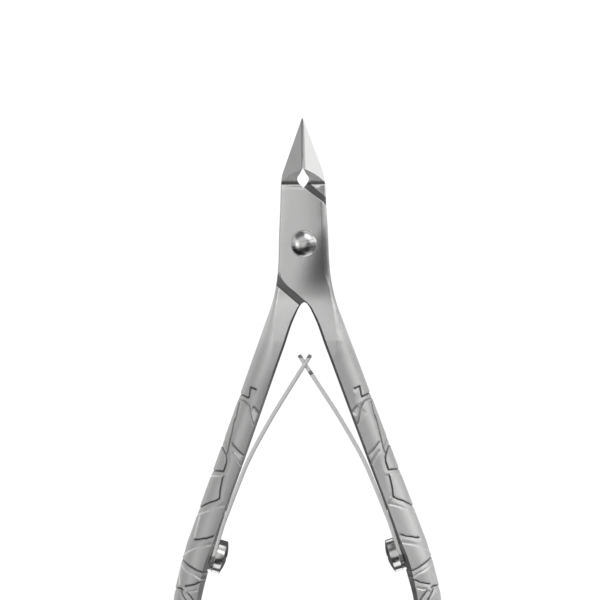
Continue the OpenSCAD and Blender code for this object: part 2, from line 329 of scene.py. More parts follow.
def new_mesh(verts, faces, name="part"):
    mesh = bpy.data.meshes.new(name)
    mesh.from_pydata([tuple(v) for v in np.asarray(verts, float).tolist()], [], faces)
    mesh.update()
    mesh.validate()
    piece = bpy.data.objects.new(name, mesh)
    bpy.context.scene.collection.objects.link(piece)
    return piece


def outward(piece):
    """Turns a closed mesh right side out."""
    mesh = piece.data
    mesh.calc_loop_triangles()
    places = np.array([v.co for v in mesh.vertices])
    tri = np.array([t.vertices[:] for t in mesh.loop_triangles])
    normals = np.cross(places[tri[:, 1]], places[tri[:, 2]])
    if np.einsum("ij,ij->i", places[tri[:, 0]], normals).sum() < 0:
        mesh.flip_normals()


def closed(verts, faces, matrix=None):
    """A closed piece, moved by a matrix if given, with its faces outward."""
    piece = new_mesh(verts, faces)
    if matrix is not None:
        piece.data.transform(matrix)
    outward(piece)
    return piece


def loft(rings):
    """Closed skin over rings of one point count, with a fan over each end."""
    rings = np.asarray(rings, float)
    r, n = rings.shape[:2]
    verts = np.concatenate([rings.reshape(-1, 3), rings[0].mean(0)[None], rings[-1].mean(0)[None]])
    here = np.arange(r - 1)[:, None] * n + np.arange(n)[None, :]
    beside = np.arange(r - 1)[:, None] * n + (np.arange(n)[None, :] + 1) % n
    faces = np.stack([here, here + n, beside + n, beside], -1).reshape(-1, 4).tolist()
    faces += [[i, (i + 1) % n, r * n] for i in range(n)]
    faces += [[(r - 1) * n + (i + 1) % n, (r - 1) * n + i, r * n + 1] for i in range(n)]
    return closed(verts, faces)


def offset(outline, distance):
    """Polygon pushed outward by a distance, whichever way it runs."""
    points = np.array(outline, float)
    after, before = np.roll(points, -1, 0), np.roll(points, 1, 0)
    area = 0.5 * (points[:, 0] * after[:, 1] - after[:, 0] * points[:, 1]).sum()

    def normal(v):
        v = v / np.maximum(np.linalg.norm(v, axis=1), 1e-12)[:, None]
        return np.stack([v[:, 1], -v[:, 0]], 1) * (1 if area > 0 else -1)
    n1, n2 = normal(points - before), normal(after - points)
    mitre = (n1 + n2) / np.maximum(0.35, 1 + (n1 * n2).sum(1))[:, None]
    return points + mitre * distance


def prism(outline, layers, matrix=None):
    """Prism with layers of (z, outward offset), where z may also be one height per corner."""
    n, r = len(outline), len(layers)
    verts = np.concatenate([
        np.concatenate([offset(outline, out), np.zeros((n, 1)) + np.reshape(z, (-1, 1))], 1)
        for z, out in layers])
    band = [[i, (i + 1) % n, n + (i + 1) % n, n + i] for i in range(n)]
    faces = [[k * n + v for v in face] for k in range(r - 1) for face in band]
    faces += [list(range(n))[::-1], [(r - 1) * n + i for i in range(n)]]
    return closed(verts, faces, matrix)


def lathe(profile, seg=96, matrix=None):
    """Solid of revolution about Z from (radius, z) points, first and last on the axis."""
    turn = np.arange(seg) * 2 * math.pi / seg
    rings = np.stack([np.stack([radius * np.cos(turn), radius * np.sin(turn), np.full(seg, z)], 1)
                      for radius, z in np.array(profile[1:-1], float)])
    r, n = rings.shape[:2]
    verts = np.concatenate([rings.reshape(-1, 3), [[0, 0, profile[0][1]]],
                            [[0, 0, profile[-1][1]]]])
    faces = [[k * n + i, k * n + (i + 1) % n, (k + 1) * n + (i + 1) % n, (k + 1) * n + i]
             for k in range(r - 1) for i in range(n)]
    faces += [[(i + 1) % n, i, r * n] for i in range(n)]
    faces += [[(r - 1) * n + i, (r - 1) * n + (i + 1) % n, r * n + 1] for i in range(n)]
    return closed(verts, faces, matrix)


def disc(radius, z0, z1, flare=None, matrix=None):
    """Round cutter. A flare (height, width) widens it from width below that height up to z1."""
    profile = [(0, z0), (radius, z0)]
    if flare:
        at, rim = flare
        profile += [(radius, at - rim), (radius + rim + (z1 - at), z1)]
    else:
        profile += [(radius, z1)]
    return lathe(profile + [(0, z1)], matrix=matrix)


def solid_box(low, high, matrix=None):
    x0, y0, z0 = low
    x1, y1, z1 = high
    verts = [(x, y, z) for z in (z0, z1) for x, y in ((x0, y0), (x1, y0), (x1, y1), (x0, y1))]
    faces = [(3, 2, 1, 0), (4, 5, 6, 7), (0, 1, 5, 4), (1, 2, 6, 5), (2, 3, 7, 6), (3, 0, 4, 7)]
    return closed(verts, faces, matrix)


def boolean(piece, tools, how="DIFFERENCE"):
    """Applies one boolean per tool and throws the tools away."""
    for tool in tools:
        modifier = piece.modifiers.new("b", "BOOLEAN")
        modifier.operation = how
        modifier.solver = "MANIFOLD"
        modifier.object = tool
    graph = bpy.context.evaluated_depsgraph_get()
    mesh = bpy.data.meshes.new_from_object(piece.evaluated_get(graph))
    piece.modifiers.clear()
    piece.data = mesh
    for tool in tools:
        bpy.data.objects.remove(tool, do_unlink=True)
    return piece


def finish_piece(piece, name, angle=30, mirror=False):
    """Millimetres to metres, mirrored if asked, shaded smooth with its real edges kept sharp."""
    piece.name = name
    mesh = piece.data
    mesh.name = name
    if mirror:
        mesh.transform(Matrix.Diagonal((-1, 1, 1, 1)))
        mesh.flip_normals()
    mesh.transform(Matrix.Scale(MM, 4))
    mesh.polygons.foreach_set("use_smooth", [True] * len(mesh.polygons))
    mesh.set_sharp_from_angle(angle=math.radians(angle))
    mesh.update()
    return piece


# ---------------------------------------------------------------- lever blank

N_IN, N_ARC = 8, 60            # points on the inner face and on each half of a section
# Inner side of the joint's skin where the lap outline will cut it away: (s, x)
CUT_SIDE = [[5.5, -4.92], [6.3, -4.75], [7.3, -4.25], [8.5, -2.95], [9.5, -1.8], [10.4, -0.75],
            [10.97, 0.1]]


def sunk(x, s):
    """How far the front face lies below the joint's full thickness."""
    x, s = np.asarray(x, float), np.asarray(s, float)
    crown = 0.36 * np.clip((18 - s) / 11, 0, 1) * (x / smooth(OUTER, s)) ** 2
    across = 0.77 * (x - 4.6) + 0.635 * (s + 3.5)  # over the face, towards the right handle
    return crown + 0.46 * step(across, -0.6, 8.2) * (1 - step(s, 6.5, 20))


def half_section(inner, outer, height, power, bevel, s=None):
    """Evenly spaced (x, z) from the bevel to the outer edge, sunk near the joint if s is given."""
    a = np.linspace(0, 0.5 ** (1 / power), 160)
    b = (1 - a ** power) ** (1 / power)
    u, v = np.concatenate([a, b[::-1][1:]]), np.concatenate([b, a[::-1][1:]])
    x = inner + bevel + u * (outer - inner - bevel)
    z = np.minimum(MID, height * v)
    if s is not None and s < 18:
        z = z - sunk(x, s) * np.clip(z / MID, 0, 1)
    run = np.concatenate([[0], np.cumsum(np.hypot(np.diff(x), np.diff(z)))])
    even = np.linspace(0, run[-1], N_ARC)
    return np.interp(even, run, x), np.interp(even, run, z)


def carved(grid, turn):
    """Grid pushed in along its normals by the carving (turn 1 for the front, -1 the rear)."""
    normal = np.cross(np.gradient(grid, axis=0), np.gradient(grid, axis=1))
    normal = normal / np.maximum(np.linalg.norm(normal, axis=2), 1e-9)[:, :, None]
    normal = normal * np.where(normal[:, :, 2:3] * turn >= 0, 1, -1)
    normal[np.abs(normal[:, :, 2]) < 0.02] = [1, 0, 0]
    depth = carve(grid[:, :, 0], -grid[:, :, 1])[0]
    for _ in range(2):
        moved = grid - normal * depth[:, :, None]
        depth = 0.5 * depth + 0.5 * carve(moved[:, :, 0], -moved[:, :, 1])[0]
    return grid - normal * depth[:, :, None], depth


def lever_blank():
    cap_l = HANDLE_L - CAP_S
    body = [-11.35, -11.1, -10.8] + list(np.arange(-10.4, 10.9, 0.35)) + [10.97]
    handle = [11.0] + list(np.arange(11.3, 26.0, 0.25)) + list(np.arange(26.0, CAP_S, 0.122))
    cap = [CAP_S] + [CAP_S + cap_l * math.sin(math.radians(a)) for a in np.linspace(2, 90, 44)]
    front, rear, inner_face = [], [], []
    for s in body + handle + cap:
        height, power = float(linear(CROWN, s)), float(linear(SQUARE, s))
        if s < 11.0:
            outer = float(smooth(OUTER, s))
            inner = max(-outer, float(linear(CUT_SIDE, s))) if s > 5.5 else -outer
            bevel = 0.22 + 0.23 * float(step(s, 8, 10.97))
        else:
            shrink = math.sqrt(max(0.004, 1 - ((s - CAP_S) / cap_l) ** 2)) if s > CAP_S else 1.0
            low, high = float(smooth(INNER, s)), float(smooth(OUTER, s))
            centre, half = (low + high) / 2, shrink * (high - low) / 2
            inner, outer = centre - half, centre + half
            bevel = float(linear(BEVEL, s)) * shrink
            height = height * math.sqrt(shrink)
        x_front, z_front = half_section(inner, outer, height, power, bevel, s)
        x_rear, z_rear = half_section(inner, outer, height, power, bevel)
        front.append(np.stack([x_front, np.full(N_ARC, -s), z_front], 1))
        rear.append(np.stack([x_rear, np.full(N_ARC, -s), -z_rear], 1))
        inner_face.append([inner, -s, z_front[0] - bevel, -(z_rear[0] - bevel)])
    front, front_depth = carved(np.array(front), 1)
    rear, rear_depth = carved(np.array(rear), -1)
    rear[:, -1] = front[:, -1]
    rings = []
    for k, (x, y, high, low) in enumerate(inner_face):
        z = np.linspace(low + rear_depth[k, 0], high - front_depth[k, 0], N_IN)
        face = np.stack([np.full(N_IN, x), np.full(N_IN, y), z], 1)
        rings.append(np.concatenate([face, front[k], rear[k, ::-1][1:]]))
    return loft(np.array(rings) + np.array([0, 0, MID]))


def ridge(y):
    """Height of the jaws' ridge above the lap plane."""
    return 2.6 + (JAW_ROOT - y) * 2.0 / BLADE_L


def jaw_half(y):
    """Half width of the closed jaws."""
    return 0.1 + 3.4 * (JAW_TIP - y) / BLADE_L if y > JAW_ROOT else float(smooth(OUTER, -y))


def jaw_back(y):
    """Depth of the jaws below the lap plane."""
    taper_from = 11.6
    return min(MID, MID - 2.9 * (y - taper_from) / (JAW_TIP - taper_from))


def jaw_blank():
    rings = []
    for y in np.concatenate([np.linspace(11.0, 23.3, 90), [23.42, 23.5, 23.56, JAW_TIP]]):
        half, low, top = jaw_half(y), -jaw_back(y), ridge(y)
        crest = min(0.3, half * 0.5)           # half width of the steeper strip at the ridge
        chamfer = min(0.14, half * 0.3)

        def roof(x):
            return top - 0.65 * x - 0.35 * min(x, crest)
        left = [(-half, low + chamfer * 1.2), (-half, (low + roof(half)) / 2)]
        left += [(-x, roof(x)) for x in np.linspace(half, crest, 12)]
        left += [(-crest / 2, roof(crest / 2))]
        points = left + [(0, top)] + [(-x, z) for x, z in left[::-1]]
        points += [(x, low) for x in np.linspace(half - chamfer * 1.2, -half + chamfer * 1.2, 9)]
        rings.append([(x, y, z + MID) for x, z in points])
    return loft(rings)


# ---------------------------------------------------------------- lever cuts

def bend(start, pull, end, count):
    """Quadratic curve from start to end, drawn towards pull."""
    start, pull, end = (np.array(p, float) for p in (start, pull, end))
    return [tuple((1 - t) ** 2 * start + 2 * t * (1 - t) * pull + t * t * end)
            for t in np.linspace(0, 1, count + 1)]


# Outlines (x, y) of what is cut off the joint: below left, above right, the other lever's
# lap, and the notch between the jaws
UNDER = [(-14, -5.2), (-5.4, -5.2)] + bend((-4.72, -5.5), (-4.45, -6.95), (-2.55, -8.53), 16)
UNDER += [(0.25, -11.0), (0.25, -15), (-14, -15)]
UPPER = [(-0.01, 30), (-0.01, 10.8)] + bend((3.45, 8.15), (4.2, 7.57), (4.4, 6.3), 14)
UPPER += [(6, 6.2), (14, 6.2), (14, 30)]
POCKET = [(-14, -0.09), (0.3, 12.7), (14, 24.9), (14, 0.03), (0.7, -11.7), (-14, -24.66)]
RELIEF = [(0, 14.25)] + bend((-0.62, 13.2), (-1.52, 12.35), (-0.72, 11.35), 10) + [(0, 10.45)]
RELIEF += [(-x, y) for x, y in RELIEF[-2:0:-1]]
RIM = 0.13                     # height of the chamfer round the lap outline
LAP_GAP = 0.02                 # half the gap between the lapped faces


def through(outline):
    """A cutter right through the joint that leaves a chamfer on both faces."""
    corners = np.array(outline, float)
    points = []
    for start, end in zip(corners, np.roll(corners, -1, 0)):
        k = max(1, int(math.hypot(*(end - start)) / 0.4))
        points += [tuple(start + (end - start) * i / k) for i in range(k)]
    x, y = np.array(points).T
    drop = sunk(np.clip(x, -5, 5), -np.clip(y, -14, 11))
    top = TOP - np.where((np.abs(x) < 7) & (np.abs(y) < 14), drop, 0)
    return prism(points, [(-0.6, RIM + 0.7), (RIM, 0.1), (MID, -0.14), (top - RIM, 0.1),
                          (top + 0.6, RIM + 0.7)])


def ramp_cutter():
    """Scoops the front face where the jaws rise from the joint, along a (y, z) profile."""
    low = MID + 0.02
    profile = [(9.9, 8), (9.95, low)]
    profile += [(9.95 + 1.25 * u, low - 0.42 * u ** 1.7 - 0.62 * u ** 12)
                for u in np.linspace(0.06, 1, 22)]
    round_y, round_z, radius = 10.15, 4.8, 4.6
    profile += [(y, round_z - math.sqrt(radius ** 2 - (y - round_y) ** 2))
                for y in np.linspace(11.22, 14.7, 44)]
    profile += [(14.74, 8)]
    stand = Matrix(((0, 0, 1, 0), (1, 0, 0, 0), (0, 1, 0, MID), (0, 0, 0, 1)))
    return prism(profile, [(-8, 0), (8, 0)], stand)


def hollow_cutter():
    """Wedge that hollows the jaws from below, up to just under the ridge."""
    far, low, skin = JAW_TIP + 0.8, -2.5, 0.3
    verts = [(0, far, MID + ridge(far) - skin), (-0.34, far, low), (0.34, far, low),
             (0, JAW_ROOT, MID + ridge(JAW_ROOT) - skin),
             (-2.5, JAW_ROOT, low), (2.5, JAW_ROOT, low), (0, 11.0, low)]
    faces = [(0, 1, 2), (0, 4, 1), (0, 3, 4), (0, 5, 3), (0, 2, 5), (3, 6, 4), (3, 5, 6),
             (1, 5, 2), (1, 4, 5), (4, 6, 5)]
    return closed(verts, faces)


def foot_matrix():
    """From a screw standing on XY to the spring seat, its head towards the tool's middle."""
    return (Matrix.Translation((FOOT_X, -FOOT_S, MID))
            @ Matrix.Rotation(math.pi + FOOT_A, 4, "Z")
            @ Matrix.Rotation(math.pi / 2, 4, "Y"))


def throat_highlight(s):
    """Painted highlight where the handle leaves the joint. A positive painted tone darkens the
    steel as painted shade.
    """
    return -1.1 * step(s, 9, 11) * (1 - step(s, 16, 21))


def front_painted_tone(x, s):
    # Painted highlight where the handle leaves the joint and further down the front handle
    return throat_highlight(s) - 0.6 * step(s, 40, 52)


def back_painted_tone(x, s):
    """Painted highlight where the handle leaves the joint, and painted shade towards the inner edge
    of the handle.
    """
    inner, outer = smooth(INNER, np.clip(s, 11, 90)), smooth(OUTER, np.clip(s, 11, 90))
    return throat_highlight(s) + 1.6 * np.clip(1 - (x - inner) / (outer - inner), 0, 1) * step(s, 19, 28)


def make_lever(front):
    lever = boolean(lever_blank(), [jaw_blank()], "UNION")
    pocket = [(-1, 0), (MID + LAP_GAP, 0)] if front else [(MID - LAP_GAP, 0), (8.5, 0)]
    bore = (PIVOT_HIGH_R if front else PIVOT_LOW_R) + SHANK_PLAY
    cuts = [prism(POCKET, pocket), through(UNDER), through(UPPER),
            prism(RELIEF, [(-1, 0), (8, 0)]), ramp_cutter(), hollow_cutter(), disc(bore, -1, 8)]
    if front:
        cuts.append(disc(PIVOT_HEAD_R + 0.08, 6.58, 8, flare=(TOP, 0.1)))
    seat = foot_matrix()
    cuts += [solid_box((-4.2, -8.6, 0), (4.2, 3.4, 3), seat),
             disc(SPRING_SHANK_R + SHANK_PLAY, -3.5, 1.5, matrix=seat)]
    boolean(lever, cuts)
    if front:
        return paint(lever, bright=0.3, dark=1.0, painted_tone=front_painted_tone)
    return paint(lever, bright=1.7, dark=0.8, painted_tone=back_painted_tone)


# ---------------------------------------------------------------- springs

FOOT_R = 3.0                   # radius of the leaf's rounded foot
# Half widths along each leaf: (s, half width). The right leaf's tongue enters the left's window
TONGUE_HALF = [[20, 0.8], [21.3, 1.05], [23.85, 1.05], [24.5, 2.05], [46, 2.5], [60, 2.5]]
WINDOW_HALF = [[20, 1.7], [21.3, 2.05], [24.5, 2.05], [46, 2.5], [60, 2.5]]


def leaf_half(s, tongue):
    if s > FOOT_S - 4:
        past = max(0, s - FOOT_S) / math.cos(FOOT_A)
        return min(2.5, math.sqrt(max(0.02, FOOT_R ** 2 - past ** 2)))
    return float(linear(TONGUE_HALF if tongue else WINDOW_HALF, s))


def leaf_run(s, reach):
    """Vector (x, y) down the leaf across a short stretch around s."""
    return np.array([float(smooth(LEAF, s + reach) - smooth(LEAF, s - reach)), -2 * reach])


def leaf_section(s, tongue):
    """Rounded oblong (across the leaf's thickness, up) with its long sides divided."""
    half, thick = leaf_half(s, tongue), LEAF_T / 2
    if s < 21.0:
        thick = thick - 0.5 * (21.0 - s)
    outer = thick + 0.08 * min(1, max(0, (56 - s) / 3))
    inner = thick + 0.04
    r = min(0.05, half * 0.6, inner * 0.8)
    points = []
    for centre_u, centre_v, start in ((outer - r, half - r, 0), (-inner + r, half - r, 90),
                                      (-inner + r, -half + r, 180), (outer - r, -half + r, 270)):
        for k in range(5):
            a = math.radians(start + k * 22.5)
            points.append((centre_u + r * math.cos(a), centre_v + r * math.sin(a)))
        if start in (90, 270):
            side, sign = (-inner, 1) if start == 90 else (outer, -1)
            points += [(side, sign * f * (half - r)) for f in np.linspace(1, -1, 9)[1:-1]]
    return points


def make_leaf(tongue):
    stations = [20.85, 20.9, 21.0, 21.15, 21.3] + list(np.arange(21.6, 23.7, 0.3))
    stations += [23.85, 23.95, 24.1, 24.3, 24.5] + list(np.arange(24.9, FOOT_S, 0.35))
    stations += [FOOT_S + FOOT_R * math.cos(FOOT_A) * math.sin(a)
                 for a in np.linspace(0, 1.56, 26)]
    rings = []
    for s in sorted(set(round(float(v), 4) for v in stations)):
        x = float(smooth(LEAF, s))
        along = leaf_run(s, 0.05)
        along = along / np.hypot(*along)
        normal = np.array([-along[1], along[0]])
        rings.append([(x + normal[0] * u, -s + normal[1] * u, MID + v)
                      for u, v in leaf_section(s, tongue)])
    leaf = loft(rings)
    cuts = [disc(SPRING_SHANK_R + 0.1, -1.5, 1.5, matrix=foot_matrix())]
    if not tongue:
        run = leaf_run(22.57, 0.1)
        lean = (Matrix.Translation((0, -22.5, MID))
                @ Matrix.Rotation(math.atan2(run[1], run[0]), 4, "Z"))
        cuts.append(solid_box((-1.3, -1.5, -1.3), (1.3, 1.5, 1.3), lean))
    return boolean(leaf, cuts)


# ---------------------------------------------------------------- screws

def dome_profile(rim, rise, base, count):
    """Dome points (radius, z) from rim to axis, the sphere's radius and its centre's height."""
    ball = (rim * rim + rise * rise) / (2 * rise)
    centre = base + rise - ball
    edge = math.asin(rim / ball)
    points = [(ball * math.sin(a), centre + ball * math.cos(a))
              for a in np.linspace(edge, 0, count)]
    return points, ball, centre


def screw_body(profile, dome):
    return lathe(profile + dome[:-1] + [(0, dome[-1][1])], 160)


def make_pivot():
    """Stepped pivot screw with a slot in its domed head and a short one in its lower end."""
    low, high, head = PIVOT_LOW_R, PIVOT_HIGH_R, PIVOT_HEAD_R
    dome, ball, centre = dome_profile(2.34, 0.6, 7.26, 30)
    profile = [(0, 0.0), (1.38, 0.0), (low, 0.12), (low, 3.4), (high, 3.5), (high, 6.3),
               (2.3, 6.6), (2.36, 6.62), (head, 6.68), (head, 7.17), (2.385, 7.22)]
    screw = screw_body(profile, dome)
    slot = solid_box((-4, -0.52, 6.9), (4, 0.52, 9), Matrix.Rotation(math.radians(10), 4, "Z"))
    # The slot's floor is a rounder dome, its top this far below the head's
    slot_depth = 0.3
    floor_dome, floor_ball, floor_centre = dome_profile(3.4, 1.45, 0, 30)
    keep = [(0, 3.0), (4.2, 3.0), (4.2, 6.0)]
    keep += [(r, centre + ball - slot_depth - floor_ball + z - floor_centre)
             for r, z in floor_dome[:-1]]
    keep += [(0, centre + ball - slot_depth)]
    boolean(slot, [lathe(keep, 120)])
    boolean(screw, [slot])
    drive = prism([(-1.1, -0.3), (1.1, -0.3), (1.1, 0.3), (-1.1, 0.3)], [(-0.5, 0), (0.35, 0)],
                  Matrix.Rotation(math.radians(35), 4, "Z"))
    return boolean(screw, [drive])


def make_spring_screw():
    """Slotted screw that clamps a leaf's foot to its seat."""
    under = LEAF_T + 0.04
    top = under + 1.55
    rise, shank, head = 0.58, SPRING_SHANK_R, 3.15
    dome = dome_profile(3.02, rise, top + 0.03, 18)[0]
    profile = [(0, -3.2), (1.0, -3.2), (shank, -3.0), (shank, under), (2.95, under),
               (3.08, under + 0.03), (head, under + 0.12), (head, top - 0.12),
               (3.125, top - 0.04), (3.08, top)]
    screw = screw_body(profile, dome)
    slot = solid_box((-5, -0.5, top + 0.62 - 0.55), (5, 0.5, 6),
                     Matrix.Rotation(math.radians(24), 4, "Z"))
    boolean(screw, [slot])
    screw.data.transform(foot_matrix())
    return screw


# ---------------------------------------------------------------- node helper

class Net:
    """A short way to write a node tree."""

    def __init__(self, tree):
        self.tree = tree
        tree.nodes.clear()

    def node(self, kind, inputs=None, **props):
        node = self.tree.nodes.new(kind)
        for key, value in props.items():
            setattr(node, key, value)
        for key, value in (inputs or {}).items():
            if isinstance(value, bpy.types.NodeSocket):
                self.tree.links.new(value, node.inputs[key])
            else:
                node.inputs[key].default_value = value
        return node

    def math(self, how, a, b=0.0, clamp=False):
        return self.node("ShaderNodeMath", {0: a, 1: b, 2: 0.0}, operation=how,
                         use_clamp=clamp).outputs[0]

    def add(self, total, *terms):
        for term in terms:
            total = self.math("ADD", total, term)
        return total

    def sub(self, a, b):
        return self.math("SUBTRACT", a, b)

    def mul(self, total, *factors):
        for factor in factors:
            total = self.math("MULTIPLY", total, factor)
        return total

    def absolute(self, a):
        return self.math("ABSOLUTE", a)

    def dim(self, value, mask, share):
        """Takes a share of the value away where the mask is 1."""
        return self.mul(value, self.sub(1.0, self.mul(mask, share)))

    def swing(self, noise, amount):
        """Noise swinging about zero."""
        return self.mul(self.sub(noise, 0.5), amount)

    def ramp(self, value, start, end, low=0.0, high=1.0):
        """Eased change from low, where the value is start, to high, where it is end."""
        return self.node("ShaderNodeMapRange", {
            "Value": value, "From Min": start, "From Max": end, "To Min": low, "To Max": high},
            interpolation_type="SMOOTHSTEP").outputs[0]

    def objects(self):
        return self.node("ShaderNodeTexCoord").outputs["Object"]

    def to_mm(self, vector):
        return self.node("ShaderNodeVectorMath", {0: vector, "Scale": 1 / MM},
                         operation="SCALE").outputs[0]

    def split(self, vector):
        return self.node("ShaderNodeSeparateXYZ", {0: vector}).outputs

    def noise(self, vector, scale, detail, roughness):
        return self.node("ShaderNodeTexNoise", {
            "Vector": vector, "Scale": scale, "Detail": detail, "Roughness": roughness}).outputs[0]

    def attribute(self, name):
        return self.node("ShaderNodeAttribute", attribute_name=name).outputs["Fac"]


# ---------------------------------------------------------------- finishes

def lever_tone(net, value, place, face, slope, lap):
    """Painted light and shade over a lever's steel. Places are in millimetres, face is the true
    normal.
    """
    x, y, z = place
    lit, groove_shade, painted_tone = (net.attribute(name) for name in ("lit", "groove_shade", "painted_tone"))

    # Painted shade at the foot of the ramp behind the jaws
    foot = net.mul(net.ramp(y, 12.1, 11.25), net.ramp(z, MID + 1.5, MID + 1.1),
                   net.ramp(y, 11.1, 11.2))
    value = net.dim(value, foot, 0.65)

    # Painted highlights on the ramp's upper lip, the joint's upper right chamfer, the ramp and the
    # lit edges
    lip = net.mul(net.ramp(y, 10.0, 10.35), net.ramp(y, 11.3, 11.1),
                  net.ramp(z, MID + 2.5, MID + 2.8))
    facing = net.add(net.mul(face[0], 0.77), net.mul(face[1], 0.64))
    rim = net.mul(net.ramp(z, TOP - 1.3, TOP - 1.1),
                  net.ramp(net.absolute(net.sub(face[2], 0.70)), 0.12, 0.05),
                  net.ramp(facing, 0.5, 0.62),
                  net.ramp(net.absolute(y), 12.5, 11.5))
    painted_highlight = net.math("MAXIMUM", slope, lit)
    painted_highlight = net.math("MAXIMUM", net.mul(lip, 0.35), net.math("MAXIMUM", rim, painted_highlight))
    highlight_value = 0.96
    value = net.add(value, net.mul(painted_highlight, net.sub(highlight_value, value)))
    # Painted shade in the chased lines
    value = net.dim(value, groove_shade, 0.64)

    # Painted shade on the inner sides, less so on the left handle and where the painted tone is
    # high, then painted shade on the lapped faces and from the painted tone
    inward = net.mul(face[0], -1.0, net.math("SIGN", x))
    inner = net.mul(net.ramp(inward, 0.52, 0.62), net.ramp(y, -11.0, -13.0))
    pale = net.mul(net.ramp(x, -0.5, -1.5), net.ramp(y, -22.0, -30.0))
    shade = net.sub(net.sub(0.42, net.mul(painted_tone, 0.12)), net.mul(pale, 0.55))
    for mask, share in ((inner, shade), (lap, 0.62), (painted_tone, 0.2)):
        value = net.dim(value, mask, share)

    # Painted shade over the face of the joint towards its right, from a curved boundary
    lift = net.add(y, 5.5)
    from_curve = net.sub(net.add(x, 2.8), net.mul(lift, lift, 0.07))
    face_shade = net.mul(net.ramp(from_curve, 0.0, 7.2), net.ramp(z, MID + 1.0, MID + 2.0))
    face_shade = net.mul(face_shade, net.mul(net.ramp(y, -13.0, -9.0, low=0.45),
                                   net.ramp(y, 9.0, 0.0, low=0.15)))
    value = net.dim(value, face_shade, 0.34)

    # A painted highlight on its upper right
    upper = net.mul(net.mul(net.ramp(x, 1.0, 3.6), net.ramp(x, 4.5, 4.0)),
                    net.mul(net.ramp(y, 0.5, 4.5), net.ramp(z, MID + 1.0, MID + 2.0)),
                    net.ramp(y, 10.2, 9.6))
    value = net.mul(value, net.add(1.0, net.mul(upper, 0.22)))

    # A strip of painted shade beside the jaws' meeting line
    spine = net.mul(net.ramp(x, -0.34, -0.26), net.ramp(x, 0.02, -0.02),
                    net.ramp(y, 14.0, 14.6))
    return net.dim(value, spine, 0.45)


def steel(name, base, rough, grain, streak, wear_and_shade, seed, stretch=(7.0, 0.45, 0.45), part=None):
    """Satin steel: ground streaks, blasted grain, cloudy roughness, worn edges, painted shade in
    hollows.

    base and rough are its brightness and roughness. grain, streak and wear_and_shade scale the
    blasting, the ground streaks, and the worn edges with the painted shade in hollows. stretch is
    the streaks' fineness along each axis.
    """
    mat = bpy.data.materials.new(name)
    mat.use_nodes = True
    net = Net(mat.node_tree)
    co = net.objects()
    mm = net.node("ShaderNodeMapping", {"Vector": co, "Location": (seed, seed * 0.7, 0),
                                        "Scale": (1000, 1000, 1000)}).outputs[0]
    lines = net.node("ShaderNodeMapping", {"Vector": mm, "Scale": stretch}).outputs[0]
    cloud = net.noise(mm, scale=0.22, detail=4.0, roughness=0.6)
    fine = net.noise(mm, scale=4.5, detail=3.0, roughness=0.65)
    rub = net.noise(lines, scale=1.0, detail=3.0, roughness=0.6)
    cells = net.node("ShaderNodeTexVoronoi", {"Vector": mm, "Scale": 1.3, "Randomness": 1.0},
                     feature="F1").outputs[0]
    pit = net.ramp(cells, 0.03, 0.09, low=1.0, high=0.0)
    pointed = net.node("ShaderNodeNewGeometry").outputs["Pointiness"]
    edge = net.ramp(pointed, 0.515, 0.60)
    # Hollows, which get painted shade and more roughness
    shaded_hollows = net.ramp(pointed, 0.485, 0.42)
    if part == "lever":
        # The blades show no worn edges
        blade = net.ramp(net.split(net.to_mm(co))[1], 13.2, 14.2)
        edge = net.mul(edge, net.sub(1.0, blade))
        place = net.split(net.to_mm(co))
        face = net.split(net.node("ShaderNodeNewGeometry").outputs["True Normal"])
        # The blasted handles, the ramp up to the jaws with its painted highlight, and the lapped
        # faces, which are rougher and carry painted shade
        blast = net.ramp(place[1], -9.5, -15.0)
        slope = net.mul(net.ramp(face[1], -0.2, -0.4), net.ramp(place[1], 11.8, 12.5))
        from_lap = net.absolute(net.sub(place[2], MID))
        lap = net.mul(net.ramp(from_lap, 0.08, 0.12, low=1.0, high=0.0),
                      net.ramp(net.absolute(face[2]), 0.90, 0.97))

    # Brightness: clouds, streaks and grain, then worn edges, painted shade in hollows, and pits
    tone = net.add(net.swing(cloud, 0.10), net.swing(rub, 0.10 * streak),
                   net.swing(fine, 0.07 * grain), net.mul(edge, 0.10 * wear_and_shade))
    tone = net.sub(tone, net.mul(shaded_hollows, 0.42 * wear_and_shade))
    tone = net.sub(tone, net.mul(pit, 0.05))
    value = net.math("ADD", tone, base, clamp=True)
    if part == "lever":
        value = lever_tone(net, value, place, face, slope, lap)
    if part == "leaf":
        # Painted shade at the leaf's upper end and at its foot
        y = net.split(net.to_mm(co))[1]
        ends = net.add(net.ramp(y, -21.45, -21.35), net.ramp(y, -58.1, -58.6))
        value = net.dim(value, ends, 0.72)
    warmth = (1.0, 0.997, 0.992)
    colour = net.node("ShaderNodeCombineColor", {
        i: net.mul(value, share) for i, share in enumerate(warmth)}).outputs[0]

    # Roughness, from the same clouds, streaks, edges and recesses
    rough = net.add(rough, net.swing(cloud, 0.12), net.swing(rub, 0.10 * streak))
    rough = net.sub(rough, net.mul(edge, 0.08 * wear_and_shade))
    rough = net.math("ADD", rough, net.mul(shaded_hollows, 0.12 * wear_and_shade), clamp=True)
    if part == "lever":
        rough = net.add(rough, net.mul(blast, 0.20), net.mul(lap, 0.25))
        rough = net.math("ADD", rough, net.mul(slope, 0.42), clamp=True)

    height = net.add(net.mul(fine, grain), net.mul(rub, streak))
    height = net.sub(height, net.mul(pit, 0.5 * grain))
    bump = net.node("ShaderNodeBump", {"Strength": 0.5, "Distance": 0.00002,
                                       "Height": height}).outputs[0]
    bsdf = net.node("ShaderNodeBsdfPrincipled", {"Base Color": colour, "Metallic": 1.0,
                                                 "Roughness": rough, "Normal": bump})
    net.node("ShaderNodeOutputMaterial", {"Surface": bsdf.outputs[0]})
    return mat


# ---------------------------------------------------------------- build

